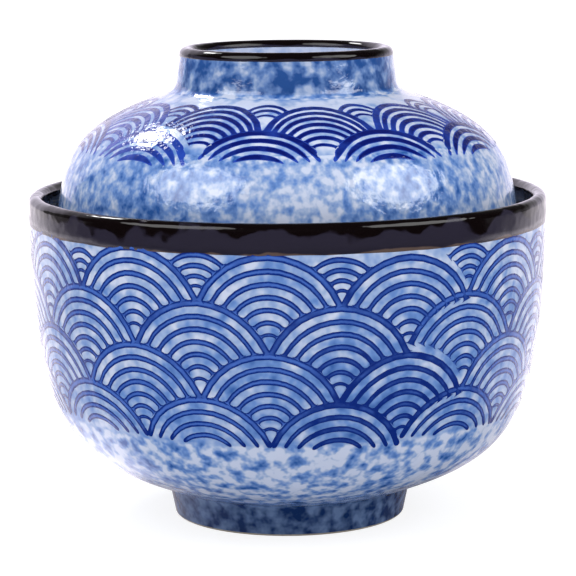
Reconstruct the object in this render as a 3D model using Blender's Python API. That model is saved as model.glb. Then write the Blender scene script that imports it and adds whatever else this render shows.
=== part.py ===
"""Lidded soup bowl: a deep footed bowl, and a domed lid that drops into a seat inside its mouth.

Both pieces are turned about +Z. The origin is the centre of the foot ring, on the table.
"""

import math

import bmesh
import bpy

# Driving dimensions, in metres. Pulls are the two points that shape a curve, as (radius, height).
SIDES = 64                # facets round each turned piece
SEAT_GAP = 0.0003         # clearance under the lid where it rests on its seat

MOUTH_RADIUS = 0.0725     # outside of the bowl's lip
BOWL_HEIGHT = 0.0918      # table to the crest of the lip
LIP_THICKNESS = 0.0038
FLOOR_HEIGHT = 0.0142     # inside of the bowl, at its centre
INNER_WALL_RADIUS = 0.0676
INNER_WALL_TOP = 0.0640   # where the wall starts to swell into the lid's seat
INSIDE_PULLS = ((0.0510, FLOOR_HEIGHT), (INNER_WALL_RADIUS, 0.0200))
BELLY_PULLS = ((0.0720, 0.0223), (0.0616, 0.0195))

SEAT_HEIGHT = 0.0825      # flat of the seat above the table
SEAT_INNER_RADIUS = 0.0608
SEAT_ROUND = 0.0010       # softened inner edge of the seat
SEAT_FILLET = 0.0012      # corner between the seat and the lip
LIP_DRAFT = 0.0005        # lean of the wall between the seat and the lip
SWELLING_PULLS = ((INNER_WALL_RADIUS, 0.0725), (SEAT_INNER_RADIUS, 0.0715))

FOOT_TOP_RADIUS = 0.0341
FOOT_RADIUS = 0.0327      # outside of the foot ring, at the table
FOOT_WIDTH = 0.0042       # width of the ring that stands on the table
FOOT_ROUND = 0.0009
FOOT_HEIGHT = 0.0095      # table to where the belly leaves the foot
BELLY_START_RADIUS = 0.0364
NECK_PULL = (0.0345, 0.0089)
NECK_HEIGHT = 0.0076      # where the foot ring's straight side starts
RECESS_HEIGHT = 0.0072    # hollow inside the foot ring
RECESS_DOME = 0.0004
RECESS_DRAFT = 0.0008     # lean of the ring's inner wall
RECESS_FILLET = 0.0018

LID_RADIUS = 0.0647
LID_RIM_WIDTH = 0.0037
LID_RIM_ROUND = 0.0010
DOME_TOP_RADIUS = 0.0367  # where the dome turns up towards the knob ring
DOME_TOP_HEIGHT = 0.11855
DOME_PULLS = ((0.0595, 0.1106), (0.0636, 0.1015))
HOLLOW_SHOULDER = (0.0330, 0.1142)
HOLLOW_HEIGHT = 0.1166
HOLLOW_PULLS = ((0.0598, 0.1000), (0.0560, 0.1075))
CROWN_PULLS = ((0.0210, HOLLOW_HEIGHT), (0.0100, HOLLOW_HEIGHT))

KNOB_HEIGHT = 0.13235     # table to the crest of the knob ring
KNOB_RADIUS = 0.0298      # outside of the ring, below its crest
KNOB_BASE = (0.03095, 0.1224)
KNOB_FOOT_PULLS = ((0.0312, 0.1206), (0.0330, 0.1196))
KNOB_THICKNESS = 0.0039
KNOB_RECESS_RADIUS = 0.0253
KNOB_RECESS_HEIGHT = 0.1203
KNOB_RECESS_DOME = 0.0005
KNOB_RECESS_FILLET = 0.0015


def bezier(start, lead_out, lead_in, end, steps):
    """Points along a cubic curve pulled by two points, after its start and up to its end."""
    points = []
    for index in range(1, steps + 1):
        t = index / steps
        s = 1 - t
        weights = (s ** 3, 3 * s * s * t, 3 * s * t * t, t ** 3)
        corners = (start, lead_out, lead_in, end)
        points.append(tuple(sum(w * c[axis] for w, c in zip(weights, corners)) for axis in (0, 1)))
    return points


def arc(centre, radius, start_degrees, end_degrees, steps):
    """Points along a round corner, with both of its ends."""
    points = []
    for index in range(steps + 1):
        angle = math.radians(start_degrees + (end_degrees - start_degrees) * index / steps)
        points.append((centre[0] + radius * math.cos(angle), centre[1] + radius * math.sin(angle)))
    return points


def bowl_inside():
    """From the centre of the floor up the wall to the swelling under the seat."""
    floor = (0, FLOOR_HEIGHT)
    wall = (INNER_WALL_RADIUS, INNER_WALL_TOP)
    return [floor] + bezier(floor, *INSIDE_PULLS, wall, 11)


def lid_seat():
    """The gallery inside the mouth: a swelling, a flat that carries the lid, and a corner to the lip."""
    wall = (INNER_WALL_RADIUS, INNER_WALL_TOP)
    edge = (SEAT_INNER_RADIUS, SEAT_HEIGHT - 2 * SEAT_ROUND)
    lip_inner = MOUTH_RADIUS - LIP_THICKNESS
    swelling = bezier(wall, *SWELLING_PULLS, edge, 5)
    nose = arc((SEAT_INNER_RADIUS + SEAT_ROUND, SEAT_HEIGHT - SEAT_ROUND), SEAT_ROUND, 180, 90, 2)
    corner_centre = (lip_inner - LIP_DRAFT - SEAT_FILLET, SEAT_HEIGHT + SEAT_FILLET)
    corner = arc(corner_centre, SEAT_FILLET, -90, 0, 2)
    return swelling + nose + corner


def bowl_lip():
    """The rounded lip, from the inside over the crest to the outside."""
    radius = LIP_THICKNESS / 2
    return arc((MOUTH_RADIUS - radius, BOWL_HEIGHT - radius), radius, 180, 0, 6)


def bowl_belly():
    """The outside: a near upright wall that rounds under into the foot."""
    top = (MOUTH_RADIUS, BOWL_HEIGHT - LIP_THICKNESS / 2)
    bottom = (BELLY_START_RADIUS, FOOT_HEIGHT)
    belly = bezier(top, *BELLY_PULLS, bottom, 17)
    neck = bezier(bottom, NECK_PULL, NECK_PULL, (FOOT_TOP_RADIUS, NECK_HEIGHT), 2)
    return belly + neck


def foot_ring():
    """The ring the bowl stands on, and the shallow hollow inside it."""
    outer = arc((FOOT_RADIUS - FOOT_ROUND, FOOT_ROUND), FOOT_ROUND, 0, -90, 2)
    inner_radius = FOOT_RADIUS - FOOT_WIDTH
    inner = arc((inner_radius + FOOT_ROUND, FOOT_ROUND), FOOT_ROUND, -90, -180, 2)
    corner_centre = (inner_radius - RECESS_DRAFT - RECESS_FILLET, RECESS_HEIGHT - RECESS_FILLET)
    corner = arc(corner_centre, RECESS_FILLET, 0, 90, 2)
    return outer + inner + corner + [(0, RECESS_HEIGHT + RECESS_DOME)]


def knob_ring():
    """From the centre of the knob's hollow, over the ring and down its outside to the dome."""
    radius = KNOB_THICKNESS / 2
    corner_centre = (KNOB_RECESS_RADIUS - KNOB_RECESS_FILLET, KNOB_RECESS_HEIGHT + KNOB_RECESS_FILLET)
    hollow = [(0, KNOB_RECESS_HEIGHT + KNOB_RECESS_DOME)] + arc(corner_centre, KNOB_RECESS_FILLET, -90, 0, 2)
    crest = arc((KNOB_RADIUS - radius, KNOB_HEIGHT - radius), radius, 180, 0, 6)
    foot = bezier(KNOB_BASE, *KNOB_FOOT_PULLS, (DOME_TOP_RADIUS, DOME_TOP_HEIGHT), 4)
    return hollow + crest + [KNOB_BASE] + foot


def lid_dome():
    """The dome, from below the knob ring down to the rim."""
    rim_height = SEAT_HEIGHT + SEAT_GAP
    bottom = (LID_RADIUS, rim_height + LID_RIM_ROUND)
    dome = bezier((DOME_TOP_RADIUS, DOME_TOP_HEIGHT), *DOME_PULLS, bottom, 13)
    corner = arc((LID_RADIUS - LID_RIM_ROUND, bottom[1]), LID_RIM_ROUND, 0, -90, 2)
    return dome + corner[1:]


def lid_hollow():
    """The rim's inner corner, and the underside of the lid up to its centre."""
    inner_radius = LID_RADIUS - LID_RIM_WIDTH
    start = (inner_radius, SEAT_HEIGHT + SEAT_GAP + LID_RIM_ROUND)
    corner = arc((inner_radius + LID_RIM_ROUND, start[1]), LID_RIM_ROUND, -90, -180, 2)
    wall = bezier(start, *HOLLOW_PULLS, HOLLOW_SHOULDER, 9)
    crown = bezier(HOLLOW_SHOULDER, *CROWN_PULLS, (0, HOLLOW_HEIGHT), 3)
    return corner + wall + crown


def glaze(name, colour):
    """A glossy fired glaze of one colour."""
    material = bpy.data.materials.new(name)
    material.use_nodes = True
    shader = material.node_tree.nodes["Principled BSDF"]
    shader.inputs["Base Color"].default_value = (*colour, 1)
    shader.inputs["Roughness"].default_value = 0.15
    shader.inputs["Metallic"].default_value = 0
    material.diffuse_color = (*colour, 1)
    return material


def turned(name, outline, material):
    """Turns an outline of (radius, height) points about +Z into one closed solid."""
    body = bmesh.new()
    points = [body.verts.new((radius, 0, height)) for radius, height in outline]
    edges = [body.edges.new(pair) for pair in zip(points, points[1:])]
    bmesh.ops.spin(
        body, geom=points + edges, cent=(0, 0, 0), axis=(0, 0, 1), angle=2 * math.pi, steps=SIDES, use_merge=True)
    bmesh.ops.remove_doubles(body, verts=body.verts, dist=0.00001)
    bmesh.ops.recalc_face_normals(body, faces=body.faces)
    mesh = bpy.data.meshes.new(name)
    body.to_mesh(mesh)
    body.free()
    mesh.shade_smooth()
    mesh.set_sharp_from_angle(angle=math.radians(50))
    mesh.materials.append(material)
    piece = bpy.data.objects.new(name, mesh)
    bpy.context.scene.collection.objects.link(piece)
    return piece


def main():
    for old in list(bpy.data.objects):
        bpy.data.objects.remove(old, do_unlink=True)
    bowl_outline = bowl_inside() + lid_seat() + bowl_lip() + bowl_belly() + foot_ring()
    lid_outline = knob_ring() + lid_dome() + lid_hollow()
    bowl = turned("bowl", bowl_outline, glaze("cobalt_glaze_bowl", (0.18, 0.30, 0.60)))
    lid = turned("lid", lid_outline, glaze("cobalt_glaze_lid", (0.24, 0.38, 0.66)))
    lid.parent = bowl


main()
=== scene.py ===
"""Lidded soup bowl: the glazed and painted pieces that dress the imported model, laid out as an add-on."""

import math
from functools import partial

import bpy
from bpy.props import FloatProperty, FloatVectorProperty, IntProperty, PointerProperty
from bpy.types import Operator, Panel, PropertyGroup
from mathutils import Matrix, Vector


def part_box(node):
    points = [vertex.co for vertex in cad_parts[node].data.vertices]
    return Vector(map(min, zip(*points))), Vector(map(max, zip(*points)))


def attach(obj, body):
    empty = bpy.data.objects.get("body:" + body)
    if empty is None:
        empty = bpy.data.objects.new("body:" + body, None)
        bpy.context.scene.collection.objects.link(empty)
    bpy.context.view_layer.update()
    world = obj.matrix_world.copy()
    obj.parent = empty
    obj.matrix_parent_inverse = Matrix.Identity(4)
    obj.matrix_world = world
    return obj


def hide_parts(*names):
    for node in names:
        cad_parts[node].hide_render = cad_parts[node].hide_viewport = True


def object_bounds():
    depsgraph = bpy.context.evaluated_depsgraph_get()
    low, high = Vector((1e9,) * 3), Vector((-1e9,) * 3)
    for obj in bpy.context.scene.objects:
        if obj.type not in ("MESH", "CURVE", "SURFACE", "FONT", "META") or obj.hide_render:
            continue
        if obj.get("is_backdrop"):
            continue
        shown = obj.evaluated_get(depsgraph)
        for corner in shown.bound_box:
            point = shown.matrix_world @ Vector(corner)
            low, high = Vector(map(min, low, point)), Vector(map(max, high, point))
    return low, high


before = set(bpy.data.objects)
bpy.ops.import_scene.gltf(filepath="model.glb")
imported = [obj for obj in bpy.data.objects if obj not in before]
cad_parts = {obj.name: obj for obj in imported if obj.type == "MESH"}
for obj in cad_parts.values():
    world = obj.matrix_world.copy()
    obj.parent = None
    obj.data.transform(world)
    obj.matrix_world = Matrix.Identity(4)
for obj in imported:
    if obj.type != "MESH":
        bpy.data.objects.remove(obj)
CAD_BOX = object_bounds()

bl_info = {
    "name": "Lidded soup bowl",
    "version": (1, 0, 0),
    "blender": (4, 5, 0),
    "location": "3D View > Sidebar > Soup bowl",
    "description": "Builds a lidded soup bowl with an iron-glazed rim and rows of painted waves",
    "category": "Object",
}

MM = 0.001
BOWL_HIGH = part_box("bowl")[1]
LID_LOW, LID_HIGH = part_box("lid")

SIDES = 240                 # facets round each turned piece
SEAT_HEIGHT = 82.5 * MM     # flat inside the mouth that carries the lid, above the table
FOOT_ROUND = 0.9 * MM       # rounded edges of the foot ring
RIM_ROUND = 1.0 * MM        # rounded edges of the lid's rim
SKIN = 0.14 * MM            # dipped glaze above the clay
SKIN_ROOT = 0.4 * MM        # its closed underside below the surface of the clay
SKIN_EDGE = 1.2 * MM        # length over which it thins out to its edge
STROKE_LIFT = 0.03 * MM     # middle of a brush stroke above the wall
STROKE_RELIEF = 0.035 * MM  # its crest above that middle
BRUSH_WAVER = 0.7 * MM      # how far the brush strays in all
GLAZE_ROUGHNESS = 0.08
GLAZE_IOR = 1.55

# The painted waves: label, what it is, and its value on the bowl and on the lid. Sizes are in millimetres.
WAVE_COUNTS = (
    ("Waves round", "Waves in one row", 12, 10),
    ("Rows", "Rows of waves, the cut one at the top included", 5, 3),
    ("Strokes", "Brush strokes in one wave", 7, 7),
)
WAVE_SIZES = (
    ("First crest", "Crest of the top row, from the crest of the dark rim", -4.85, 5.5),
    ("Row pitch", "One row of waves to the next", 12.95, 13.4),
    ("Stroke pitch", "One stroke to the next, at their crests", 3.36, 3.05),
    ("Outer radius", "Outer stroke of a wave", 20.4, 15.6),
    ("Radius step", "How much smaller each stroke's radius is", 3.25, 1.78),
    ("Least radius", "Roundness that the innermost stroke keeps", 3.5, 1.0),
    ("Stroke width", "Width of a brush stroke", 1.6, 1.95),
    ("Outer extra", "How much wider the outer stroke of a wave is", 0.25, 0.2),
    ("Top start", "How much lower the strokes of the cut top row start", 4.9, 0.0),
    ("Top pitch", "One stroke to the next in the cut top row", 2.8, 3.05),
    ("Top edge", "Where the painting starts, from the crest of the dark rim", 7.6, 16.4),
    ("Last drop", "How far the strokes of the lowest row run down", 13.5, 11.5),
    ("End reach", "Length over which a free stroke closes to its tip", 0.9, 6.0),
    ("Girth radius", "Radius at which the waves are spaced", 72.0, 50.0),
)


def linear(code, alpha=1):
    """An sRGB hex colour as the linear values that Blender works in."""
    levels = []
    for place in (0, 2, 4):
        share = int(code[place:place + 2], 16) / 255
        levels.append(share / 12.92 if share <= 0.04045 else ((share + 0.055) / 1.055) ** 2.4)
    return (*levels, alpha)


def length(name, description, metres):
    """A size that a user may change."""
    return FloatProperty(name=name, description=description, default=metres, unit="LENGTH", precision=5)


def tint(name, description, code):
    """A colour that a user may change."""
    return FloatVectorProperty(
        name=name, description=description, default=linear(code), subtype="COLOR", size=4, min=0, max=1)


def key(label):
    """The attribute that holds what a label names."""
    return label.lower().replace(" ", "_")


def wave_properties(place):
    """The properties of painted waves, with the defaults of the bowl (0) or of the lid (1)."""
    counts = {key(label): IntProperty(name=label, description=text, default=defaults[place], min=1)
              for label, text, *defaults in WAVE_COUNTS}
    sizes = {key(label): length(label, text, defaults[place] * MM) for label, text, *defaults in WAVE_SIZES}
    return counts | sizes


class BowlSizes(PropertyGroup):
    mouth_radius: length("Mouth radius", "Outside of the lip", BOWL_HIGH.x)
    height: length("Height", "Table to the crest of the lip", BOWL_HIGH.z)
    lip_thickness: length("Lip thickness", "Wall at the mouth", 3.8 * MM)
    floor_height: length("Floor height", "Inside of the bowl at its centre, above the table", 14.2 * MM)
    foot_radius: length("Foot radius", "Outside of the foot ring at the table", 32.7 * MM)
    foot_width: length("Foot width", "Width of the ring that stands on the table", 4.2 * MM)
    band_depth: length("Band depth", "Dark glaze below the crest of the lip, along the outside", 9.0 * MM)
    band_inside: length("Band inside", "Dark glaze below the crest of the lip, along the inside", 9.0 * MM)


class LidSizes(PropertyGroup):
    radius: length("Radius", "Outside of the rim that sits inside the mouth", LID_HIGH.x)
    rim_height: length("Rim height", "Underside of the rim above the table", LID_LOW.z)
    height: length("Height", "Table to the crest of the knob ring", LID_HIGH.z)
    knob_radius: length("Knob radius", "Outside of the knob ring below its crest", 29.8 * MM)
    knob_thickness: length("Knob thickness", "Wall of the knob ring", 3.9 * MM)
    band_depth: length("Band depth", "Dark glaze below the crest of the ring, along the outside", 3.35 * MM)
    band_inside: length("Band inside", "Dark glaze below the crest of the ring, along the inside", 3.0 * MM)


class BowlWaves(PropertyGroup):
    __annotations__ = wave_properties(0)


class LidWaves(PropertyGroup):
    __annotations__ = wave_properties(1)


class Glazes(PropertyGroup):
    ground: tint("Ground", "Pale glaze between the blots", "BCC5DB")
    haze: tint("Haze", "Ground that a little cobalt has bled into", "94A8CC")
    blot: tint("Blot", "Cobalt that was sponged on", "6486C0")
    deep_blot: tint("Deep blot", "Middle of the strongest blots", "2A5498")
    # Foot colours: partly the foot's own cobalt, partly painted shade under the belly.
    foot_wash_and_shade: tint("Foot wash", "Thin greyish cobalt on the foot", "6F88B2")
    pool: tint("Pool", "Cobalt that has run together on the foot", "183466")
    stroke: tint("Stroke", "Thin cobalt along the middle of a brush stroke", "4064B4")
    stroke_edge: tint("Stroke edge", "Cobalt that has gathered along the edges of a stroke", "0C2672")
    lid_edge: tint("Lid edge", "Edges of the strokes on the lid", "2443A4")
    lid_stroke: tint("Lid stroke", "Middle of the strokes on the lid", "0A1560")
    iron: tint("Iron", "Dark glaze on the lip and the knob ring", "0C0708")
    # Partly a thinner glaze, partly painted reflection of the pale room on the upright band.
    iron_film_and_sheen: tint("Iron bloom", "Greyish film on the iron glaze below the lip", "262331")
    iron_thin: tint("Thin iron", "Iron glaze where it runs out", "5E4E48")
    clay: tint("Clay", "Fired clay left bare under the foot ring and the lid's rim", "C9BEAE")
    grit: tint("Grit", "Darker specks in the bare clay", "8C7B68")


class Studio(PropertyGroup):
    front_power: FloatProperty(
        name="Front lamps", description="Power of each front softbox", default=4.7, unit="POWER")
    back_power: FloatProperty(
        name="Back lamp", description="Power of the softbox behind", default=3.8, unit="POWER")
    surround: FloatProperty(
        name="Surround", description="Light from all round", default=0.25, subtype="FACTOR")


class SoupBowl(PropertyGroup):
    bowl: PointerProperty(name="Bowl", description="Sizes of the bowl", type=BowlSizes)
    lid: PointerProperty(name="Lid", description="Sizes of the lid", type=LidSizes)
    bowl_waves: PointerProperty(name="Bowl waves", description="Painted waves on the bowl", type=BowlWaves)
    lid_waves: PointerProperty(name="Lid waves", description="Painted waves on the lid", type=LidWaves)
    glazes: PointerProperty(name="Glazes", description="Colours", type=Glazes)
    studio: PointerProperty(name="Studio", description="Lamps", type=Studio)


MATH = bpy.types.ShaderNodeMath.bl_rna.properties["operation"].enum_items.keys()
PREFIXES = ("GeometryNode", "ShaderNode", "")  # what the names of node types start with


def sign(operation, swapped=False):
    """What a sign of arithmetic does with two terms of a formula."""
    def applied(term, other):
        return add(term.tree, operation, *((other, term) if swapped else (term, other)))
    return applied


class Term:
    """An output in a node tree, so that formulas can be written as such."""

    def __init__(self, tree, socket):
        self.tree, self.socket, self.node = tree, socket, socket.node

    def __getitem__(self, name):
        """Another output of the same node."""
        return Term(self.tree, self.node.outputs[name])

    def __iter__(self):
        """All outputs of the same node."""
        return (Term(self.tree, socket) for socket in self.node.outputs)

    __add__ = sign("ADD")
    __sub__ = sign("SUBTRACT")
    __rsub__ = sign("SUBTRACT", swapped=True)
    __mul__ = __rmul__ = sign("MULTIPLY")
    __truediv__ = sign("DIVIDE")


def add(tree, kind, *values, named=None, **settings):
    """Adds a node, by the end of its type's name or by a Math operation, and fills its inputs in order."""
    if kind in MATH:
        settings["operation"] = kind
        kind = "Math"
    node = tree.nodes.new(next(prefix + kind for prefix in PREFIXES if hasattr(bpy.types, prefix + kind)))
    for name, setting in settings.items():
        setattr(node, name, setting)
    filled = list(zip((socket for socket in node.inputs if socket.enabled), values))
    filled += [(node.inputs[name], value) for name, value in (named or {}).items()]
    for socket, value in filled:
        value = getattr(value, "socket", value)
        if isinstance(value, bpy.types.NodeSocket):
            tree.links.new(value, socket)
        elif value is not None:
            socket.default_value = value
    return next((Term(tree, socket) for socket in node.outputs if socket.enabled), node)


# In the functions below, put is add() for one tree.

def hypotenuse(put, across, up):
    """The distance that two lengths at right angles make."""
    return put("SQRT", put("POWER", across, 2) + put("POWER", up, 2))


def rounded(put, share):
    """A share from 0 to 1 that rises as a quarter of a circle does."""
    return put("SQRT", share * (2 - share))


def swing(put, level, contrast, middle):
    """A noise with another contrast, about another middle."""
    return put("MULTIPLY_ADD", level - 0.5, contrast, middle)


def faded(put, *ramps):
    """Ramps multiplied with each other. Each is a value, its two limits, and the levels at these."""
    level = 1
    for ramp in ramps:
        level = level * put("MapRange", *ramp)
    return level


def turned_to(put, radius, angle, height):
    """The place at a radius and a height, turned about the axis from the front."""
    across = radius * put("SINE", angle)
    back = radius * put("COSINE", angle) * -1
    return put("CombineXYZ", across, back, height)


def new_tree(name, kinds):
    """An empty Geometry Nodes tree, what adds nodes to it, and its named inputs."""
    tree = bpy.data.node_groups.new(name, "GeometryNodeTree")
    for label, kind in kinds.items():
        tree.interface.new_socket(label, in_out="INPUT", socket_type="NodeSocket" + kind)
    tree.interface.new_socket("Piece", in_out="OUTPUT", socket_type="NodeSocketGeometry")
    inlet = tree.nodes.new("NodeGroupInput")
    return tree, partial(add, tree), {label: Term(tree, inlet.outputs[label]) for label in kinds}


def path_object(points, shares=None):
    """An outline of (radius, height) points as a curve whose own radius carries the share of glaze."""
    data = bpy.data.curves.new("outline", "CURVE")
    data.dimensions = "3D"
    spline = data.splines.new("POLY")
    spline.points.add(len(points) - 1)
    for place, (radius, height) in enumerate(points):
        spline.points[place].co = (radius, 0, height, 1)
        spline.points[place].radius = shares[place] if shares else 0
    outline = bpy.data.objects.new("outline", data)
    bpy.context.scene.collection.objects.link(outline)
    return outline


def grown(name, tree, values):
    """Runs a tree and keeps its result as a plain mesh at the origin."""
    piece = bpy.data.objects.new(name, bpy.data.meshes.new(name))
    bpy.context.scene.collection.objects.link(piece)
    modifier = piece.modifiers.new("shape", "NODES")
    modifier.node_group = tree
    sockets = {item.name: item.identifier for item in tree.interface.items_tree if item.in_out == "INPUT"}
    for label, value in values.items():
        modifier[sockets[label]] = value
    mesh = bpy.data.meshes.new_from_object(piece.evaluated_get(bpy.context.evaluated_depsgraph_get()))
    piece.modifiers.clear()
    piece.data = mesh
    mesh.name = name
    # The mesh that the tree starts from brings an empty slot in front of its materials.
    mesh.materials.pop(index=0)
    for value in values.values():
        if isinstance(value, bpy.types.Object):
            bpy.data.objects.remove(value, do_unlink=True)
    if not mesh.polygons:
        raise RuntimeError(f"the tree for {name} gave no faces")
    return piece


def dress(piece, body, *nodes):
    """Ties a finished piece to its body and, where it stands for one, hides its CAD node."""
    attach(piece, body)
    if nodes:
        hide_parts(*nodes)


def curve(start, lead_out, lead_in, end, steps):
    """Points along a cubic curve pulled by two points, after its start and up to its end."""
    points = []
    for step in range(1, steps + 1):
        t = step / steps
        s = 1 - t
        weights = (s ** 3, 3 * s * s * t, 3 * s * t * t, t ** 3)
        corners = (start, lead_out, lead_in, end)
        points.append(tuple(sum(w * c[axis] for w, c in zip(weights, corners)) for axis in (0, 1)))
    return points


def arc(centre, radius, start, end, steps):
    """Points along a round corner between two angles in degrees, with both of its ends."""
    angles = (math.radians(start + (end - start) * step / steps) for step in range(steps + 1))
    return [(centre[0] + radius * math.cos(angle), centre[1] + radius * math.sin(angle)) for angle in angles]


def bowl_inside(size):
    """From the centre of the floor up the wall, over the swelling and along the seat of the lid."""
    floor = (0, size.floor_height)
    wall_radius = 67.6 * MM
    wall = (wall_radius, 64.0 * MM)
    seat_radius = 60.8 * MM
    nose_round = 1.0 * MM
    seat_fillet = 1.2 * MM
    lip_draft = 0.5 * MM
    seat_edge = (seat_radius, SEAT_HEIGHT - 2 * nose_round)
    seat_end = size.mouth_radius - size.lip_thickness - lip_draft - seat_fillet
    inside = [floor] + curve(floor, (51.0 * MM, size.floor_height), (wall_radius, 20.0 * MM), wall, 30)
    swelling = curve(wall, (wall_radius, 72.5 * MM), (seat_radius, 71.5 * MM), seat_edge, 12)
    nose = arc((seat_radius + nose_round, SEAT_HEIGHT - nose_round), nose_round, 180, 90, 5)
    corner = arc((seat_end, SEAT_HEIGHT + seat_fillet), seat_fillet, -90, 0, 5)
    return inside + swelling + nose + corner


def bowl_lip(size, start, end):
    """Part of the rounded lip: 180 degrees is its inside, 90 its crest and 0 its outside."""
    radius = size.lip_thickness / 2
    return arc((size.mouth_radius - radius, size.height - radius), radius, start, end, 8)


def bowl_wall(size):
    """From the crest of the lip down the outside, round the belly and over the foot to the table."""
    lip = bowl_lip(size, 90, 0)
    belly_end = (36.4 * MM, 9.5 * MM)
    neck_pull = (34.5 * MM, 8.9 * MM)
    foot_top = (34.1 * MM, 7.6 * MM)
    belly = curve(lip[-1], (72.0 * MM, 22.3 * MM), (61.6 * MM, 19.5 * MM), belly_end, 56)
    neck = curve(belly_end, neck_pull, neck_pull, foot_top, 5)
    return lip + belly + neck + arc((size.foot_radius - FOOT_ROUND, FOOT_ROUND), FOOT_ROUND, 0, -90, 5)


def bowl_foot(size):
    """From the table up the inside of the foot ring and over its shallow hollow."""
    inner_radius = size.foot_radius - size.foot_width
    recess = 7.2 * MM
    fillet = 1.8 * MM
    draft = 0.8 * MM
    inner = arc((inner_radius + FOOT_ROUND, FOOT_ROUND), FOOT_ROUND, -90, -180, 5)
    corner = arc((inner_radius - draft - fillet, recess - fillet), fillet, 0, 90, 6)
    return inner + corner + [(14 * MM, recess + 0.25 * MM), (0, recess + 0.4 * MM)]


def knob_inside():
    """From the centre of the knob's hollow out to the inside of its ring."""
    floor = 120.3 * MM
    fillet = 1.5 * MM
    inner_radius = 25.3 * MM
    corner = arc((inner_radius - fillet, floor + fillet), fillet, -90, 0, 6)
    return [(0, floor + 0.5 * MM), (12 * MM, floor + 0.35 * MM)] + corner


def knob_crest(size, start, end):
    """Part of the knob ring's rounded top: 180 degrees is its inside, 90 its crest and 0 its outside."""
    radius = size.knob_thickness / 2
    return arc((size.knob_radius - radius, size.height - radius), radius, start, end, 8)


def lid_wall(size):
    """From the crest of the knob ring down its outside and over the dome to the rim."""
    knob_base = (30.95 * MM, 122.4 * MM)
    dome_top = (36.7 * MM, 118.55 * MM)
    rim = (size.radius, size.rim_height + RIM_ROUND)
    foot = curve(knob_base, (31.2 * MM, 120.6 * MM), (33.0 * MM, 119.6 * MM), dome_top, 10)
    dome = curve(dome_top, (59.5 * MM, 110.6 * MM), (63.6 * MM, 101.5 * MM), rim, 48)
    return knob_crest(size, 90, 0) + [knob_base] + foot + dome


def lid_hollow(size):
    """Round the rim and up the underside of the lid to its centre."""
    rim_width = 3.7 * MM
    inner = size.radius - rim_width
    level = size.rim_height + RIM_ROUND
    shoulder = (33.0 * MM, 114.2 * MM)
    crown = 116.6 * MM
    outer_corner = arc((size.radius - RIM_ROUND, level), RIM_ROUND, 0, -90, 5)[1:]
    inner_corner = arc((inner + RIM_ROUND, level), RIM_ROUND, -90, -180, 5)
    wall = curve((inner, level), (59.8 * MM, 100.0 * MM), (56.0 * MM, 107.5 * MM), shoulder, 24)
    top = curve(shoulder, (21.0 * MM, crown), (10.0 * MM, crown), (0, crown), 10)
    return outer_corner + inner_corner + wall + top


def glaze_skin(inside, outside, depth_inside, depth_outside, full):
    """A thin closed skin over a rim, and the share of its full depth that the glaze has at each point."""
    def cut(points, depth):
        """The first stretch of a path, up to a length along it."""
        kept = [Vector(points[0])]
        for point in map(Vector, points[1:]):
            left = depth - sum((b - a).length for a, b in zip(kept, kept[1:]))
            step = point - kept[-1]
            if step.length >= left:
                return kept + [kept[-1] + step.normalized() * left]
            kept.append(point)
        return kept

    path = cut(inside, depth_inside)[:0:-1] + cut(outside, depth_outside)
    steps = [(b - a).length for a, b in zip(path, path[1:])]
    total = sum(steps)
    outer, inner, shares = [], [], []
    for place, point in enumerate(path):
        before, after = path[max(place - 1, 0)], path[min(place + 1, len(path) - 1)]
        along = (after - before).normalized()
        away = Vector((-along.y, along.x))
        gone = sum(steps[:place])
        edge = min(gone, total - gone)
        outer.append(tuple(point + away * SKIN * (0.2 + 0.8 * min(1, edge / SKIN_EDGE))))
        inner.append(tuple(point - away * SKIN_ROOT))
        shares.append(min(1, edge / full))
    return outer + inner[::-1] + outer[:1], shares + [0] * len(inner) + shares[:1]


def cobalt_shares(inside, wall, below, levels, inside_share):
    """The share of cobalt at each point of an outline: by height on the wall, and even elsewhere."""
    shares = [inside_share] * len(inside)
    for _, height in wall:
        for (low, low_share), (high, high_share) in zip(levels, levels[1:]):
            if low <= height <= high:
                shares.append(low_share + (high_share - low_share) * (height - low) / (high - low))
                break
        else:
            raise ValueError(f"no share of cobalt is given at the height {height}")
    return shares + [inside_share] * len(below)


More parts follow.
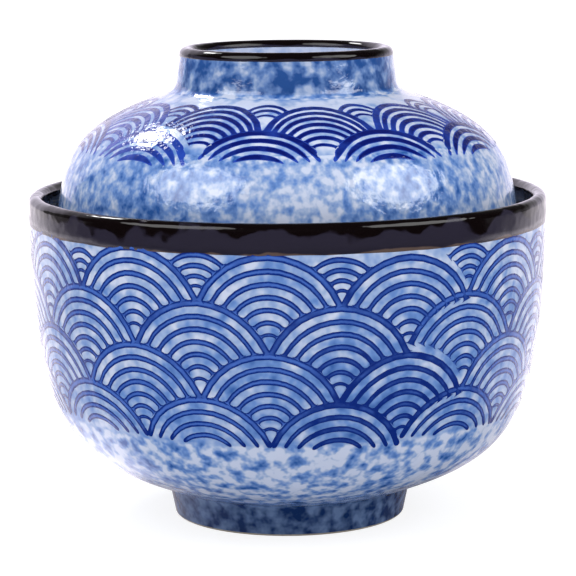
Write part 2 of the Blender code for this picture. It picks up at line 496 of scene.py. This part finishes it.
def turned_tree():
    """Turns an outline about the axis. Every shape of the bowl and lid is thrown on a wheel."""
    tree, put, given = new_tree("turned_on_the_wheel", {
        "Outline": "Object", "Sides": "Int", "Waver": "Float", "Steady height": "Float",
        "Glaze": "Material", "Bare clay": "Material", "Bare height": "Float", "Seed": "Int"})
    outline = put("ObjectInfo", given["Outline"])["Geometry"]
    count = put("AttributeDomainSize", outline, component="CURVE")
    sides = given["Sides"]
    grid = put("MeshGrid", 1, 1, sides + 1, count)

    index = put("InputIndex")
    place = put("MODULO", index, count)
    turn = put("FLOOR", index / count)
    angle = turn * (2 * math.pi) / sides
    position = put("InputPosition")
    point = put("SampleIndex", outline, position, place, data_type="FLOAT_VECTOR")
    share = put("SampleIndex", outline, put("InputRadius"), place)
    radius, _, height = put("SeparateXYZ", point)

    # The edge of a dipped glaze runs a little up and down, below a height that stays steady.
    ring = put("CombineXYZ", put("SINE", angle), put("COSINE", angle), 0)
    ring = put("VectorMath", ring, given["Seed"], operation="ADD")
    runs = put("TexNoise", ring, 5.0, 3.0)
    below = put("DIVIDE", given["Steady height"] - height, 2 * MM, use_clamp=True)
    drift = (runs - 0.5) * (given["Waver"] * below)
    placed = turned_to(put, radius, angle, height + drift)

    # The bake's map: once round the piece one way, along the outline the other way.
    across, up, _ = put("SeparateXYZ", grid["UV Map"])
    column = put("ROUND", up * (count - 1))
    run = put("SampleIndex", outline, put("SplineParameter"), column)
    spread = put("CombineXYZ", across, run, 0)
    mesh = put("StoreNamedAttribute", grid, None, "OFBake", spread, data_type="FLOAT2", domain="CORNER")
    mesh = put("StoreNamedAttribute", mesh, None, "glaze_share", share)
    mesh = put("SetPosition", mesh, None, placed)
    mesh = put("MergeByDistance", mesh, None, 0.002 * MM)
    mesh = put("FlipFaces", mesh)
    mesh = put("SetShadeSmooth", mesh)
    mesh = put("RealizeInstances", mesh)
    mesh = put("SetMaterial", mesh, None, given["Glaze"])
    bare = put("LESS_THAN", put("SeparateXYZ", position)["Z"], given["Bare height"])
    mesh = put("SetMaterial", mesh, bare, given["Bare clay"])
    put("NodeGroupOutput", mesh)
    return tree


def wave_tree():
    """Rows of waves painted with a brush: arcs laid flat, then wrapped onto the wall of a turned piece."""
    kinds = {"Wall": "Object"}
    kinds |= {label: "Int" for label, *_ in WAVE_COUNTS}
    kinds |= {label: "Float" for label, *_ in WAVE_SIZES}
    kinds |= {label: "Float" for label in ("Phase", "Seam", "Lift", "Relief", "Waver")}
    kinds |= {f"Sheet {number}": "Vector" for number in (1, 2, 3, 4)}
    kinds |= {"Seed": "Int", "Paint": "Material"}
    tree, put, given = new_tree("painted_waves", kinds)

    # One point for each stroke, counted stroke by stroke, wave by wave, row by row.
    strokes, waves = given["Strokes"], given["Waves round"]
    points = put("Points", given["Rows"] * waves * strokes)
    index = put("InputIndex")
    stroke = put("MODULO", index, strokes)
    whole = put("FLOOR", index / strokes)
    wave = put("MODULO", whole, waves)
    row = put("FLOOR", whole / waves)
    last = put("COMPARE", row, given["Rows"] - 1, 0.5)
    girth = given["Girth radius"] * (2 * math.pi)
    wave_pitch = girth / waves
    middle = (wave + put("MODULO", row, 2) * 0.5) * wave_pitch

    # The painting is laid in four sheets. Each hangs by its own drop at its left end and at its right end.
    sheet_width = girth / 4
    start = (given["Seam"] - given["Phase"]) * given["Girth radius"]
    from_seam = put("FLOORED_MODULO", middle - start, girth)
    sheet = put("FLOOR", from_seam / sheet_width)
    in_sheet = from_seam / sheet_width - sheet
    hung = tree.nodes.new("GeometryNodeIndexSwitch")
    hung.data_type = "VECTOR"
    hung.index_switch_items.new()
    hung.index_switch_items.new()
    for place, term in enumerate([sheet] + [given[f"Sheet {number}"] for number in (1, 2, 3, 4)]):
        tree.links.new(term.socket, [item for item in hung.inputs if item.enabled][place])
    left_drop, right_drop, _ = put("SeparateXYZ", hung.outputs[0])
    fall = right_drop - left_drop
    slip = put("MULTIPLY_ADD", fall, in_sheet, left_drop)

    # The outer stroke is the widest and the innermost the thinnest. The top row is cut, and drawn closer.
    top = put("COMPARE", row, 0, 0.5)
    outer = put("COMPARE", stroke, 0, 0.5)
    even_drop = stroke * given["Stroke pitch"] + (1 - outer) * given["Outer extra"]
    top_drop = given["Top start"] + stroke * given["Top pitch"]
    drop = put("Mix", top, even_drop, top_drop)
    crest = given["First crest"] + row * given["Row pitch"] + drop
    shrunk = given["Outer radius"] - stroke * given["Radius step"]
    radius = hypotenuse(put, shrunk, given["Least radius"])
    outermost = hypotenuse(put, given["Outer radius"], given["Least radius"])
    innermost = put("POWER", stroke / (strokes - 1), 6)
    thinned = 1 - innermost * 0.35
    half = given["Stroke width"] * 0.5 * thinned + outer * (given["Outer extra"] * 0.5)

    # A stroke ends where it meets the outer stroke of the next row, or runs free in the lowest row.
    across = wave_pitch * 0.5
    down = given["Row pitch"] + outermost - drop - radius
    reach = hypotenuse(put, across, down)
    overlap = outermost - 0.1 * MM
    squares = put("POWER", radius, 2) + put("POWER", reach, 2) - put("POWER", overlap, 2)
    sine = squares / (radius * 2) / reach
    sine = put("MINIMUM", put("MAXIMUM", sine, -1), 1)
    meeting = put("ARCTAN2", down, across) + put("ARCSINE", sine)
    free_drop = given["Last drop"] - drop
    cosine = 1 - free_drop / radius
    free = put("ARCCOSINE", put("MINIMUM", put("MAXIMUM", cosine, -0.4), 1))
    end = put("Mix", last, meeting, free)

    # Strokes above the edge of the painting, and free strokes that would be too short, are left out.
    lowered = crest + slip
    hidden = top * put("LESS_THAN", lowered, given["Top edge"])
    too_short = last * put("LESS_THAN", free_drop, 1.2 * MM)
    chance = put("FunctionNodeRandomValue", -0.5, 0.6, whole, given["Seed"], data_type="FLOAT")
    tone = put("ADD", chance, (in_sheet - 0.5) * 1.2, use_clamp=True)

    kept = {
        "middle": middle, "centre": lowered + radius, "bend": radius - half, "half": half, "end": end,
        "free": last, "tone": tone, "slope": fall / sheet_width, "outer": outer}
    for name, value in kept.items():
        points = put("StoreNamedAttribute", points, None, name, value)
    points = put("DeleteGeometry", points, put("MAXIMUM", hidden, too_short))

    # The stroke to be bent: four sides, seventeen stations from end to end.
    brush = put("MeshCylinder", 4, 16, 1, 1.0, 2.0)
    laid = put("RealizeInstances", put("InstanceOnPoints", points, None, brush))
    own = {name: put("InputNamedAttribute", name) for name in kept}
    side, rise, along = put("SeparateXYZ", put("InputPosition"))

    # The stations: three close together at each end, to shape the tip, and the others evenly between.
    gap = (given["Stroke pitch"] - given["Stroke width"]) * 0.5
    span = own["end"] * own["bend"]
    tip = put("MINIMUM", gap, span * 0.2)
    inward = 1 - put("ABSOLUTE", along)
    tip_share = 0.25
    in_tip = put("LESS_THAN", inward, tip_share - 0.0001)
    near = tip * put("POWER", inward / tip_share, 1.5)
    spread = (inward - tip_share) / (1 - tip_share)
    far = tip + spread * (span - tip)
    from_end = put("Mix", in_tip, far, near)
    angle = put("SIGN", along) * (own["end"] - from_end / own["bend"])

    # A stroke thins from its crest to its ends. There a free tip closes in a round or a point, and a joined
    # tip flares, so that the gaps have round ends.
    spent = put("POWER", 1 - from_end / span, 2)
    taper = (1 - own["outer"]) * 0.25
    body = own["half"] * (1 - spent * taper)
    closed = put("DIVIDE", from_end, put("MINIMUM", given["End reach"], span), use_clamp=True)
    closing = body * rounded(put, put("MAXIMUM", closed, 0.003))
    flared = put("DIVIDE", from_end, tip, use_clamp=True)
    flaring = body + gap * (1 - rounded(put, flared))
    width = put("Mix", own["free"], flaring, closing)

    # How far in from the nearest edge, for the dark line there. The line runs round free tips too.
    from_edge = width * (1 - put("ABSOLUTE", side))
    from_tip = from_end - 0.6 * MM + (1 - own["free"])
    from_edge = put("MINIMUM", from_edge, put("MAXIMUM", from_tip, 0))

    bend = own["bend"] + side * width
    flat_x = own["middle"] + bend * put("SINE", angle)
    lean = (flat_x - own["middle"]) * own["slope"]
    flat_y = own["centre"] - bend * put("COSINE", angle) + lean

    # The brush wavers a little.
    turn = flat_x / given["Girth radius"]
    field = put("CombineXYZ", put("SINE", turn), put("COSINE", turn), flat_y / given["Girth radius"])
    field = put("VectorMath", field, given["Seed"], operation="ADD")
    shift_x, shift_y, _ = put("SeparateXYZ", put("TexNoise", field, 7.0, 2.0)["Color"])
    sway = (shift_x - 0.5) * given["Waver"]
    heave = (shift_y - 0.5) * given["Waver"]
    turn = (flat_x + sway) / given["Girth radius"] + given["Phase"]
    run = put("MAXIMUM", flat_y + heave, given["Top edge"])

    # Wrapped onto the wall.
    wall = put("ObjectInfo", given["Wall"])["Geometry"]
    sample = put("SampleCurve", named={"Curves": wall, "Length": run}, mode="LENGTH")
    wall_radius, _, wall_height = put("SeparateXYZ", sample["Position"])
    outwards, _, upwards = put("SeparateXYZ", sample["Tangent"])
    raised = given["Lift"] + rise * given["Relief"]
    out = wall_radius - upwards * raised
    placed = turned_to(put, out, turn, wall_height + outwards * raised)

    # Paint gathers at the ends of a stroke, and on the outer strokes, where others run into them.
    load = own["tone"] * 0.7 + spent * 0.3 + own["outer"] * 0.15
    mesh = put("StoreNamedAttribute", laid, None, "from_edge", from_edge)
    mesh = put("StoreNamedAttribute", mesh, None, "paint_load", load)
    mesh = put("SetPosition", mesh, None, placed)
    for name in kept:
        mesh = put("RemoveAttribute", mesh, name)
    sharp = put("GREATER_THAN", put("InputMeshEdgeAngle"), math.radians(40))
    mesh = put("SetShadeSmooth", mesh)
    mesh = put("SetShadeSmooth", mesh, sharp, False, domain="EDGE")
    mesh = put("SetMaterial", mesh, None, given["Paint"])
    put("NodeGroupOutput", mesh)
    return tree


def new_material(name):
    """A material without nodes, and what adds nodes to it."""
    material = bpy.data.materials.new(name)
    material.use_nodes = True
    material.node_tree.nodes.clear()
    return material, partial(add, material.node_tree)


def orange_peel(put, place, grain):
    """The shallow ripples of a fired glaze, about 3 mm from crest to crest, with a share of finer grain."""
    fine = put("TexNoise", place, 1 / (0.9 * MM), 2.0)
    coarse = put("TexNoise", place, 1 / (4.5 * MM), 2.0)
    height = put("MULTIPLY_ADD", fine, grain, coarse)
    return put("Bump", named={"Strength": 1.0, "Distance": 0.28 * MM, "Height": height})


def toward_dark_spot(put, place):
    """From 0 to 1 towards a spot low on the front right of the belly, where the ground and the strokes are made
    darker and bluer.
    """
    spot = (25 * MM, -58 * MM, 36 * MM)
    away = put("VectorMath", place, spot, operation="DISTANCE")["Value"]
    return put("MapRange", away, 36 * MM, 16 * MM)


def mottled_glaze(name, colours, blot_size, stretch, strength, lot, uneven):
    """Glossy clear glaze over sponged cobalt: pale ground, soft blue blots, a skin like orange peel."""
    material, put = new_material(name)
    place = put("TexCoord")["Object"]
    given = put("Attribute", attribute_name="glaze_share")["Fac"]
    # More or less cobalt came off the sponge from one dab to the next, over about 25 mm.
    dabs = put("TexNoise", place, lot, 1 / (25 * MM), 0.0, noise_dimensions="4D")
    sponged = swing(put, dabs, uneven, given)
    # From little to much of it: clouds, as under the waves of the bowl, then blots, as above its foot, and
    # then pools with pale veins between them, as on the neck of the knob.
    drawn = put("Mapping", place, (0, 0, 0), (0, 0, 0), (1, 1, 1 / stretch))
    blots = swing(put, put("TexNoise", drawn, 1 / blot_size, 2.0), strength, 0.5)
    clouds = swing(put, put("TexNoise", place, 1 / (4.6 * MM), 2.0), 0.62, 0.532)
    # Darker and bluer towards a spot low on the front right of the belly.
    clouds = put("MULTIPLY_ADD", toward_dark_spot(put, place), 0.06, clouds)
    pools = put("TexNoise", place, 1 / (3.6 * MM), 2.5)
    pooled = swing(put, pools, 1.2, 0.445)
    blots = put("Mix", put("MapRange", given, 0.52, 0.6), blots, pooled)
    level = put("Mix", put("MapRange", given, 0.455, 0.465), clouds, blots)
    ramp = put("ValToRGB", swing(put, sponged, 0.5, level)).node
    stops = ((0.38, colours.ground), (0.47, colours.haze), (0.57, colours.blot), (0.72, colours.deep_blot))
    for stop, _ in stops[2:]:
        ramp.color_ramp.elements.new(stop)
    for element, (stop, colour) in zip(ramp.color_ramp.elements, stops):
        element.position = stop
        element.color = colour
    # The foot is greyer and darker: partly its own thin wash and pooled cobalt, partly painted shade under the
    # belly.
    filled = put("MapRange", pools, 0.35, 0.63)
    foot = put("Mix", filled, colours.foot_wash_and_shade, colours.pool, data_type="RGBA")
    colour = put("Mix", put("MapRange", given, 0.8, 1.0), ramp.outputs["Color"], foot, data_type="RGBA")
    put("OutputMaterial", put("BsdfPrincipled", named={
        "Base Color": colour, "Roughness": GLAZE_ROUGHNESS, "IOR": GLAZE_IOR,
        "Normal": orange_peel(put, place, 0.2)}))
    return material


def cobalt_paint(name, middle, edge, line):
    """Cobalt brushed on under the glaze: thin and blue along a stroke, with a dark line at its edges."""
    material, put = new_material(name)
    place = put("TexCoord")["Object"]
    # The wash in a stroke changes every 5 mm or so. The dark line is uneven by a grain of 0.7 mm.
    wash = put("TexNoise", place, 1 / (5 * MM), 3.0)
    grain = put("TexNoise", place, 1 / (0.7 * MM), 1.0)
    uneven = put("MULTIPLY_ADD", grain, 0.7, wash) - 0.85
    reach = put("MULTIPLY_ADD", uneven, 0.8 * line, put("Attribute", attribute_name="from_edge")["Fac"])
    inner = put("MapRange", reach, 0.5 * line, 1.5 * line, interpolation_type="SMOOTHSTEP")
    load = put("Attribute", attribute_name="paint_load")["Fac"]
    # Darker strokes towards the same spot on the belly.
    load = put("MULTIPLY_ADD", toward_dark_spot(put, place), 0.6, load)
    thin = put("SUBTRACT", put("MULTIPLY_ADD", wash, -2.0, 2.15), load, use_clamp=True)
    colour = put("Mix", inner * thin, edge, middle, data_type="RGBA")
    put("OutputMaterial", put("BsdfPrincipled", named={
        "Base Color": colour, "Roughness": GLAZE_ROUGHNESS, "IOR": GLAZE_IOR,
        "Normal": orange_peel(put, place, 0.4)}))
    return material


def iron_glaze(colours):
    """Dark iron glaze, dipped: glossy black-brown, uneven, and thin and brown where it runs out."""
    material, put = new_material("dipped_iron_glaze")
    depth = put("Attribute", attribute_name="glaze_share")["Fac"]
    # Black runs of about 9 mm hang down into a greyish film, and below it the glaze runs out. The film is partly
    # a thinner glaze and partly painted reflection of the pale room on the band's upright face.
    runs = put("TexNoise", put("TexCoord")["Object"], 1 / (9 * MM), 2.0)
    smooth = {"interpolation_type": "SMOOTHSTEP"}
    film_and_sheen = put("MapRange", swing(put, runs, 1.6, depth), 0.66, 0.5, **smooth)
    ends = put("MapRange", swing(put, runs, 0.32, depth), 0.06, 0.01, **smooth)
    colour = put("Mix", film_and_sheen, colours.iron, colours.iron_film_and_sheen, data_type="RGBA")
    colour = put("Mix", ends, colour, colours.iron_thin, data_type="RGBA")
    gloss = put("MapRange", film_and_sheen, 0.0, 1.0, 0.05, 0.22)
    bump = put("Bump", named={"Strength": 1.0, "Distance": 0.5 * MM, "Height": runs})
    put("OutputMaterial", put("BsdfPrincipled", named={
        "Base Color": colour, "Roughness": gloss, "IOR": GLAZE_IOR, "Specular IOR Level": 0.22,
        "Normal": bump}))
    return material


def bare_clay(colours):
    """Fired stoneware wiped free of glaze: dry, pale and gritty."""
    material, put = new_material("bare_stoneware")
    grit = put("TexNoise", put("TexCoord")["Object"], 1 / (0.6 * MM), 3.0)
    shade = put("MapRange", grit, 0.35, 0.7, 0.0, 0.35)
    bump = put("Bump", named={"Strength": 0.5, "Distance": 0.1 * MM, "Height": grit})
    colour = put("Mix", shade, colours.clay, colours.grit, data_type="RGBA")
    put("OutputMaterial", put("BsdfPrincipled", named={
        "Base Color": colour, "Roughness": 0.85, "IOR": 1.5, "Normal": bump}))
    return material


def shared(name, make, *values):
    """A tree or material that several pieces use, made once."""
    store = bpy.data.materials if name in bpy.data.materials else bpy.data.node_groups
    return store.get(name) or make(*values)


def turned(name, outline, shares, glaze, seed, clay=None, bare_height=0.0, waver=0.0, steady_height=0.0):
    """A piece turned on the wheel from an outline and the share of glaze at each of its points."""
    return grown(name, shared("turned_on_the_wheel", turned_tree), {
        "Outline": path_object(outline, shares), "Sides": SIDES, "Seed": seed,
        "Waver": waver, "Steady height": steady_height,
        "Glaze": glaze, "Bare clay": clay or glaze, "Bare height": bare_height})


def dipped(name, body, size, inside, outside, colours, full, **running):
    """A skin of iron glaze over a rim, which is black from a full depth of glaze on."""
    outline, shares = glaze_skin(inside[::-1], outside, size.band_inside, size.band_depth, full)
    glaze = shared("dipped_iron_glaze", iron_glaze, colours)
    dress(turned(name, outline, shares, glaze, **running), body)


def painted(name, body, size, wall, paint, laying):
    """One piece with all the waves of a wall."""
    values = {label: getattr(size, key(label)) for label, *_ in WAVE_COUNTS + WAVE_SIZES}
    values |= laying
    values |= {"Wall": path_object(wall), "Lift": STROKE_LIFT, "Relief": STROKE_RELIEF, "Waver": BRUSH_WAVER,
               "Paint": paint}
    dress(grown(name, shared("painted_waves", wave_tree), values), body)


class SOUPBOWL_OT_bowl(Operator):
    """Throws the bowl, glazed all over except under its foot ring"""
    bl_idname = "soup_bowl.bowl"
    bl_label = "Bowl"

    def execute(self, context):
        settings = context.scene.soup_bowl
        size, colours = settings.bowl, settings.glazes
        inside = bowl_inside(size) + bowl_lip(size, 180, 90)[:-1]
        wall, foot = bowl_wall(size), bowl_foot(size)
        shares = cobalt_shares(inside, wall, foot, inside_share=0.35, levels=(
            (-MM, 1.0), (9 * MM, 1.0), (12 * MM, 0.475), (31 * MM, 0.475), (35 * MM, 0.44), (64 * MM, 0.45),
            (74 * MM, 0.38), (size.height, 0.38)))
        glaze = mottled_glaze(
            "mottled_cobalt_glaze", colours, blot_size=3.6 * MM, stretch=1.0, strength=1.2,
            lot=1.04, uneven=0.2)
        clay = shared("bare_stoneware", bare_clay, colours)
        outline = inside + wall + foot
        piece = turned("bowl_body", outline, shares, glaze, seed=1, clay=clay, bare_height=0.5 * MM)
        dress(piece, "bowl", "bowl")
        return {"FINISHED"}


class SOUPBOWL_OT_bowl_rim(Operator):
    """Dips the lip of the bowl in iron glaze"""
    bl_idname = "soup_bowl.bowl_rim"
    bl_label = "Bowl rim"

    def execute(self, context):
        settings = context.scene.soup_bowl
        size = settings.bowl
        inside = bowl_inside(size) + bowl_lip(size, 180, 90)
        dipped("bowl_rim_glaze", "bowl", size, inside, bowl_wall(size), settings.glazes, full=9.0 * MM,
               seed=2, waver=0.7 * MM, steady_height=size.height - 0.6 * size.band_depth)
        return {"FINISHED"}


class SOUPBOWL_OT_bowl_waves(Operator):
    """Paints the rows of waves round the bowl"""
    bl_idname = "soup_bowl.bowl_waves"
    bl_label = "Bowl waves"

    def execute(self, context):
        settings = context.scene.soup_bowl
        colours = settings.glazes
        paint = cobalt_paint("brushed_cobalt", colours.stroke, colours.stroke_edge, line=0.48 * MM)
        painted("bowl_waves", "bowl", settings.bowl_waves, bowl_wall(settings.bowl), paint, {
            "Phase": math.radians(11), "Seam": math.radians(33), "Seed": 4,
            "Sheet 1": (-0.31 * MM, 3.31 * MM, 0), "Sheet 2": (3.2 * MM, -2.0 * MM, 0),
            "Sheet 3": (-2.1 * MM, -1.2 * MM, 0), "Sheet 4": (-1.66 * MM, 1.96 * MM, 0)})
        return {"FINISHED"}


class SOUPBOWL_OT_lid(Operator):
    """Throws the lid, glazed all over except under its rim"""
    bl_idname = "soup_bowl.lid"
    bl_label = "Lid"

    def execute(self, context):
        settings = context.scene.soup_bowl
        size, colours = settings.lid, settings.glazes
        inside = knob_inside() + knob_crest(size, 180, 90)[:-1]
        wall, hollow = lid_wall(size), lid_hollow(size)
        shares = cobalt_shares(inside, wall, hollow, inside_share=0.15, levels=(
            (0, 0.54), (106 * MM, 0.54), (110 * MM, 0.34), (116.5 * MM, 0.34), (117.5 * MM, 0.25),
            (119.5 * MM, 0.25), (121.5 * MM, 0.9), (size.height, 0.84)))
        glaze = mottled_glaze(
            "mottled_cobalt_glaze_lid", colours, blot_size=2.6 * MM, stretch=1.1, strength=0.95,
            lot=4.71, uneven=0.5)
        clay = shared("bare_stoneware", bare_clay, colours)
        outline = inside + wall + hollow
        bare_height = size.rim_height + 0.3 * MM
        piece = turned("lid_body", outline, shares, glaze, seed=1, clay=clay, bare_height=bare_height)
        dress(piece, "lid", "lid")
        return {"FINISHED"}


class SOUPBOWL_OT_knob_rim(Operator):
    """Dips the knob ring of the lid in iron glaze"""
    bl_idname = "soup_bowl.knob_rim"
    bl_label = "Knob rim"

    def execute(self, context):
        settings = context.scene.soup_bowl
        size = settings.lid
        inside = knob_inside() + knob_crest(size, 180, 90)
        dipped("knob_rim_glaze", "lid", size, inside, lid_wall(size), settings.glazes, full=1.2 * MM,
               seed=3, waver=1.1 * MM, steady_height=size.height - 0.5 * size.band_depth)
        return {"FINISHED"}


class SOUPBOWL_OT_lid_waves(Operator):
    """Paints the rows of waves round the lid"""
    bl_idname = "soup_bowl.lid_waves"
    bl_label = "Lid waves"

    def execute(self, context):
        settings = context.scene.soup_bowl
        colours = settings.glazes
        paint = cobalt_paint("brushed_cobalt_lid", colours.lid_stroke, colours.lid_edge, line=0.22 * MM)
        painted("lid_waves", "lid", settings.lid_waves, lid_wall(settings.lid), paint, {
            "Phase": math.radians(-7.5), "Seam": math.radians(-40), "Seed": 6,
            "Sheet 1": (-1.57 * MM, 0.0, 0), "Sheet 2": (0.0, 1.2 * MM, 0),
            "Sheet 3": (1.2 * MM, -0.8 * MM, 0), "Sheet 4": (-0.8 * MM, 0.77 * MM, 0)})
        return {"FINISHED"}


def set_camera(scene):
    """A long lens in front of the bowl and a little above it."""
    place = (0, -0.7215, 0.1793)
    down, roll = math.radians(9.08), math.radians(-0.45)
    data = bpy.data.cameras.new("camera")
    data.sensor_width = 36
    data.lens = 161.1
    data.clip_end = 20
    camera = bpy.data.objects.new("camera", data)
    scene.collection.objects.link(camera)
    tilt = Matrix.Rotation(math.radians(90) - down, 4, "X") @ Matrix.Rotation(roll, 4, "Z")
    camera.matrix_world = Matrix.Translation(place) @ tilt
    scene.camera = camera


def hang_softbox(scene, name, way, distance, size, core, power):
    """A softbox that faces the bowl and fades out from a bright core, a share of its size."""
    light = bpy.data.lights.new(name, "AREA")
    light.shape = "RECTANGLE"
    light.size, light.size_y = size
    light.energy = power
    light.use_nodes = True
    tree = light.node_tree
    put = partial(add, tree)
    x, y, _ = put("SeparateXYZ", put("NewGeometry")["Parametric"])
    away = hypotenuse(put, x - 0.5, y - 0.5)
    level = put("MapRange", away, 0.5, core, 0.0, 1.0, interpolation_type="SMOOTHSTEP")
    tree.links.new(level.socket, tree.nodes["Emission"].inputs["Strength"])
    lamp = bpy.data.objects.new(name, light)
    bowl_middle = Vector((0, 0, 0.07))
    lamp.location = Vector(way).normalized() * distance + bowl_middle
    lamp.rotation_mode = "QUATERNION"
    lamp.rotation_quaternion = Vector(way).to_track_quat("Z", "Y")
    scene.collection.objects.link(lamp)


def white_room(brightness):
    """The surround: white to the camera, soft light from above, and a studio that the glaze mirrors."""
    world = bpy.data.worlds.new("surround")
    world.use_nodes = True
    world.node_tree.nodes.clear()
    put = partial(add, world.node_tree)
    rays = put("LightPath")
    seen = put("MAXIMUM", rays["Is Camera Ray"], rays["Is Transmission Ray"])
    around = put("TexCoord")
    x, y, z = put("SeparateXYZ", around)
    # Mirrored: white paper hangs behind, lower to the right, and ends at the left. The rest of the room is
    # dim, but for the two front softboxes.
    behind = put("MULTIPLY_ADD", put("MINIMUM", x, 0), -0.12, y)
    overhead = put("MULTIPLY_ADD", x, 0.45, z)
    left_end = put("MULTIPLY_ADD", z, 0.35, x)
    paper = faded(put, (behind, 0.3, 0.8, 0.06, 1.5), (overhead, 0.2, 0.64, 1.0, 0.06),
                  (left_end, -0.70, -0.66, 0.15, 1.0))
    room = paper
    for softbox in ((-0.64, -0.45, 0.62), (0.75, -0.34, 0.57)):
        facing = put("VectorMath", around, softbox, operation="DOT_PRODUCT")["Value"]
        room = room + put("MapRange", facing, 0.922, 0.934, 0.0, 2.2)
    mirrored = rays["Is Glossy Ray"] * room
    plain = 1 - put("MAXIMUM", seen, rays["Is Glossy Ray"])
    front = put("MapRange", y, 0.3, -0.7, 0.5, 1.6)
    zenith = put("MapRange", z, 0.2, 1.0, 0.0, 3.8)
    sky = (front + zenith) * brightness
    strength = put("MAXIMUM", seen, mirrored) + plain * sky
    cooled = rays["Is Glossy Ray"] * paper
    colour = put("Mix", cooled, linear("FFFFFF"), linear("F2EAFC"), data_type="RGBA")
    put("OutputWorld", put("Background", colour, strength))
    return world


def pale_floor():
    """Matt white paper that fades into the surround, keeps a soft shadow and can't be seen from below."""
    material, put = new_material("white_paper_floor")
    rays = put("LightPath")
    seen = put("MAXIMUM", rays["Is Camera Ray"], rays["Is Transmission Ray"])
    place = put("TexCoord")["Object"]
    x, y, _ = put("SeparateXYZ", place)
    away = put("VectorMath", place, operation="LENGTH")["Value"]
    # Mirrored in the glaze, the paper glows as a painted reflection: bright behind the bowl, round its sides and
    # close to its foot, and dim in front of it.
    aside = put("MULTIPLY_ADD", y, -0.9, put("ABSOLUTE", x))
    far = faded(put, (y, 0.02, 0.22, 0.06, 2.0), (away, 0.1, 0.22, 0.1, 1.0), (x, 0.0, 0.3, 1.0, 0.8),
                (aside, 0.3, 0.45, 1.0, 0.2))
    sides = faded(put, (away, 0.09, 0.125, 0.0, 1.3), (away, 0.18, 0.30, 1.0, 0.0),
                  (y, -0.03, 0.01, 0.0, 1.0))
    slanted = put("MULTIPLY_ADD", x, -0.25, y)
    near = faded(put, (slanted, -0.034, -0.008, 0.0, 1.0), (away, 0.043, 0.06, 0.2, 1.0),
                 (away, 0.085, 0.125, 1.0, 0.0), (x, -0.05, 0.05, 2.7, 0.8))
    image = put("Emission", linear("F6EEF8"), far + sides + near)
    # To the camera it glows towards the white of the surround.
    glow = put("Emission", linear("FFFFFF"), put("MapRange", away, 0.2, 1.0, 1.17, 1.38))
    shown = put("MixShader", 0.72, put("BsdfDiffuse", linear("FAFAFA")), glow)
    lit = put("MixShader", seen, put("BsdfDiffuse", linear("F0F0F0")), shown)
    lit = put("MixShader", rays["Is Glossy Ray"], lit, image)
    below = put("NewGeometry")["Backfacing"]
    clear = put("BsdfTransparent")
    put("OutputMaterial", put("MixShader", below, lit, clear))
    return material


def paper_ring(hole, edge, steps=64):
    """A flat ring on the table."""
    mesh = bpy.data.meshes.new("floor")
    ring = [(math.cos(turn), math.sin(turn)) for turn in (2 * math.pi * i / steps for i in range(steps))]
    points = [(radius * x, radius * y, 0) for radius in (hole, edge) for x, y in ring]
    following = [(step + 1) % steps for step in range(steps)]
    mesh.from_pydata(points, [], [(i, steps + i, steps + j, j) for i, j in enumerate(following)])
    mesh.materials.append(pale_floor())
    return mesh


class SOUPBOWL_OT_stage(Operator):
    """Sets the floor, the lamps, the surround and the camera"""
    bl_idname = "soup_bowl.stage"
    bl_label = "Stage"

    def execute(self, context):
        scene = context.scene
        settings = scene.soup_bowl
        studio = settings.studio
        scene.view_settings.view_transform = "Standard"
        set_camera(scene)
        # Name, direction from the bowl, distance, size, bright core and power.
        for softbox in (
                ("front_left", (-0.66, -0.50, 0.60), 0.9, (0.82, 0.64), 0.47, studio.front_power),
                ("front_right", (0.77, -0.40, 0.57), 0.9, (0.76, 0.60), 0.47, studio.front_power),
                ("back_left", (-0.47, 0.52, 0.71), 0.8, (0.28, 0.20), 0.22, studio.back_power)):
            hang_softbox(scene, *softbox)
        scene.world = white_room(studio.surround)
        # A hole under the foot ring lets light reach the hollow there when it is seen from below.
        floor_mesh = paper_ring(hole=settings.bowl.foot_radius - 1.2 * MM, edge=8.0)
        floor = bpy.data.objects.new("floor", floor_mesh)
        scene.collection.objects.link(floor)
        floor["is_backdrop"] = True
        return {"FINISHED"}


STEPS = (SOUPBOWL_OT_stage, SOUPBOWL_OT_bowl, SOUPBOWL_OT_bowl_rim, SOUPBOWL_OT_bowl_waves,
         SOUPBOWL_OT_lid, SOUPBOWL_OT_knob_rim, SOUPBOWL_OT_lid_waves)


class SOUPBOWL_PT_steps(Panel):
    """Lists the steps that build the soup bowl"""
    bl_label = "Soup bowl"
    bl_space_type = "VIEW_3D"
    bl_region_type = "UI"
    bl_category = "Soup bowl"

    def draw(self, context):
        for step in STEPS:
            self.layout.operator(step.bl_idname)


CLASSES = (BowlSizes, LidSizes, BowlWaves, LidWaves, Glazes, Studio, SoupBowl, *STEPS, SOUPBOWL_PT_steps)


def register():
    for item in CLASSES:
        bpy.utils.register_class(item)
    bpy.types.Scene.soup_bowl = PointerProperty(type=SoupBowl)


def unregister():
    del bpy.types.Scene.soup_bowl
    for item in reversed(CLASSES):
        bpy.utils.unregister_class(item)


def main():
    register()
    for step in STEPS:
        group, name = step.bl_idname.split(".")
        getattr(getattr(bpy.ops, group), name)()
    boxes = {"cad": [list(corner) for corner in CAD_BOX], "visual": [list(corner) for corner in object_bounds()]}


if __name__ == "__main__":
    main()
